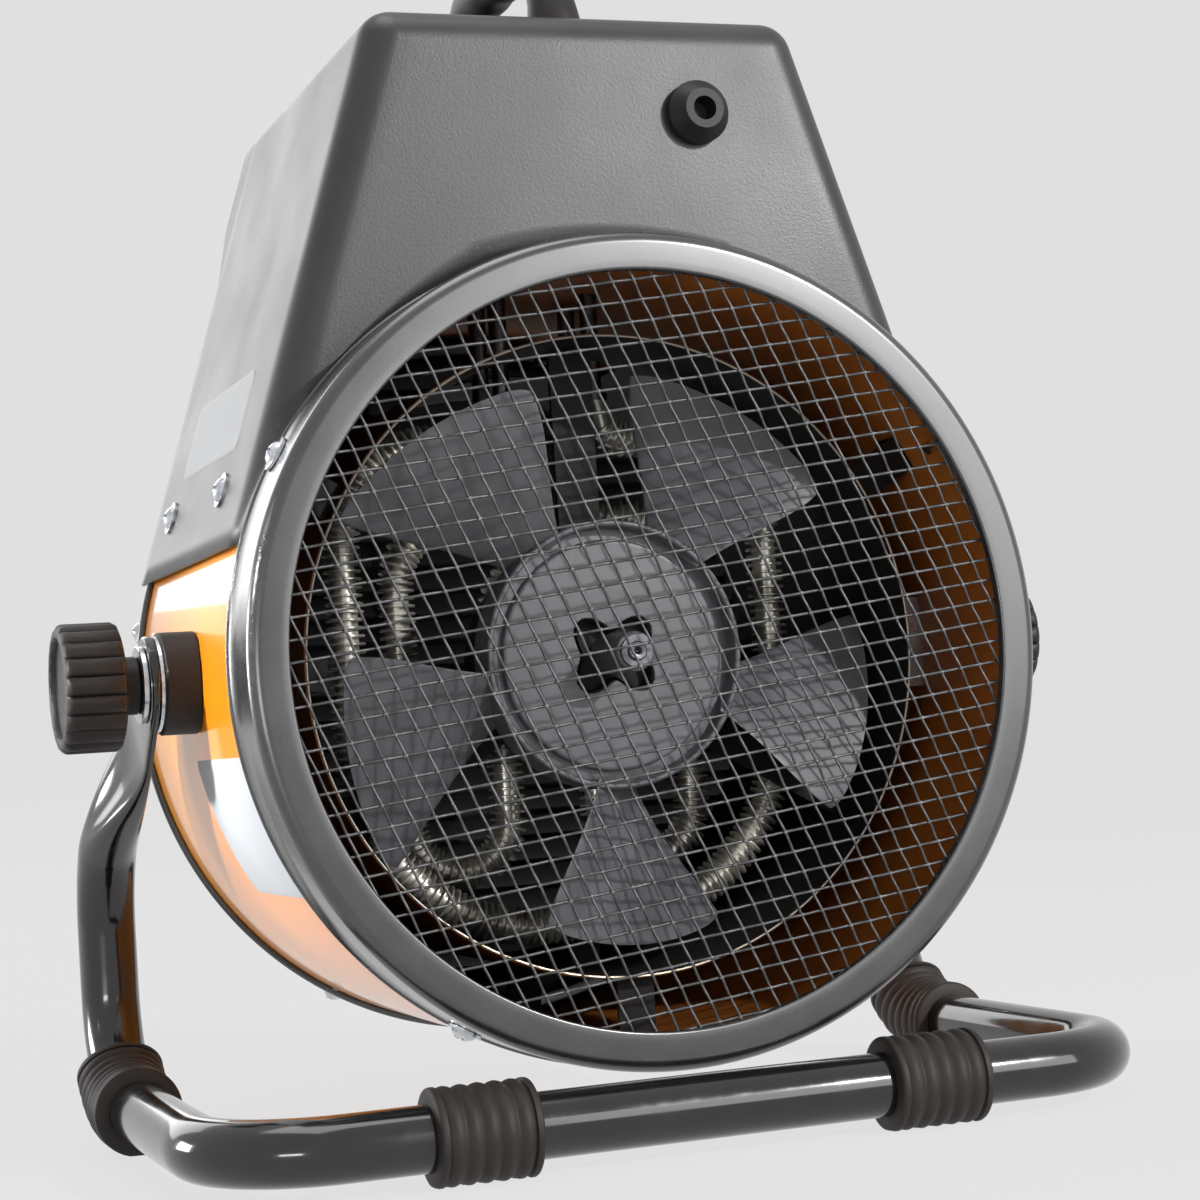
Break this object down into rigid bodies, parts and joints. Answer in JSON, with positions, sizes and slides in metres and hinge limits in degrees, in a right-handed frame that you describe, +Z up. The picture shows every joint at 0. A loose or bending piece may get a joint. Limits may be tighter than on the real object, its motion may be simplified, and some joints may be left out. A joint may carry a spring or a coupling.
{
  "type": "fan heater",
  "caption": "Drum fan heater with a control box and carry handle, tilting on a bent tube stand and held by two clamp knobs.",
  "frame": {"origin": "on the floor, under the middle of the whole heater", "axes": "+Z up, the air outlet faces -Y, the air intake faces +Y, the tilt axis is parallel to X"},
  "size_m": [0.3314, 0.2425, 0.391],
  "materials": {
    "drum_orange": "gloss enamel, orange",
    "powder_black": "fine textured powder coat, black",
    "ring_black": "satin enamel, black",
    "wire_grey": "woven wire, dull grey",
    "wire_black": "painted wire, satin black",
    "shield_steel": "bright sheet",
    "fan_black": "satin black",
    "bright_steel": "bright zinc",
    "element_steel": "finned tube, dull bright",
    "motor_steel": "zinc plated",
    "knob_black": "moulded, matt black",
    "handle_black": "moulded, fine grain",
    "switch_ivory": "moulded, ivory",
    "ceramic_white": "glazed, white",
    "lamp_red": "clear red lens",
    "lead_red": "heat-proof sleeve",
    "stand_black": "gloss black",
    "foot_rubber": "soft, matt black"
  },
  "bodies": {
    "stand": {"stand_tube": "stand_black", "front_feet": "foot_rubber", "rear_feet": "foot_rubber", "friction_washers": "bright_steel", "clamp_washers": "bright_steel"},
    "heater": {"drum_shell": "drum_orange", "intake_ring": "ring_black", "outlet_ring": "ring_black", "intake_mesh": "wire_grey", "outlet_guard": "wire_black", "heat_shield": "shield_steel", "shield_brackets": "shield_steel", "motor": "motor_steel", "motor_bracket": "motor_steel", "motor_bolts": "bright_steel", "outer_element": "element_steel", "inner_element": "element_steel", "element_brackets": "shield_steel", "terminal_plate": "motor_steel", "terminal_bushes": "ceramic_white", "terminal_nuts": "bright_steel", "thermal_cutout": "switch_ivory", "box_cover": "powder_black", "box_rails": "motor_steel", "front_plate": "powder_black", "control_panel": "powder_black", "mode_switch": "switch_ivory", "thermostat": "switch_ivory", "pilot_lamp": "lamp_red", "terminal_block": "switch_ivory", "lead_wires": "lead_red", "cord_gland": "knob_black", "gland_nut": "knob_black", "carry_handle": "handle_black", "handle_screws": "bright_steel", "box_screws": "bright_steel", "ring_screws": "bright_steel", "outlet_screws": "bright_steel", "pivot_nuts": "bright_steel", "pivot_spacers": "knob_black"},
    "fan": {"fan": "fan_black", "fan_shaft": "bright_steel", "fan_clip": "bright_steel"},
    "left_clamp": {"left_clamp_knob": "knob_black", "left_stud": "bright_steel"},
    "right_clamp": {"right_clamp_knob": "knob_black", "right_stud": "bright_steel"},
    "mode_dial": {"mode_knob": "knob_black", "mode_shaft": "bright_steel"},
    "thermostat_dial": {"thermostat_knob": "knob_black", "thermostat_shaft": "bright_steel"}
  },
  "joints": [
    {"name": "heater_tilt", "type": "hinge", "parent": "stand", "child": "heater", "pos_m": [0, 0.00675, 0.147], "axis": [1, 0, 0], "range_deg": [-12, 12]},
    {"name": "fan_spin", "type": "hinge", "parent": "heater", "child": "fan", "pos_m": [0, 0.05, 0.147], "axis": [0, 1, 0], "continuous": true},
    {"name": "left_clamp_turn", "type": "hinge", "parent": "heater", "child": "left_clamp", "pos_m": [0.15, 0.00675, 0.147], "axis": [1, 0, 0], "range_deg": [0, 360]},
    {"name": "right_clamp_turn", "type": "hinge", "parent": "heater", "child": "right_clamp", "pos_m": [-0.15, 0.00675, 0.147], "axis": [-1, 0, 0], "range_deg": [0, 360]},
    {"name": "mode_turn", "type": "hinge", "parent": "heater", "child": "mode_dial", "pos_m": [-0.036, -0.11, 0.329], "axis": [0, 1, 0], "range_deg": [0, 135]},
    {"name": "thermostat_turn", "type": "hinge", "parent": "heater", "child": "thermostat_dial", "pos_m": [0.036, -0.11, 0.329], "axis": [0, 1, 0], "range_deg": [0, 270]}
  ]
}
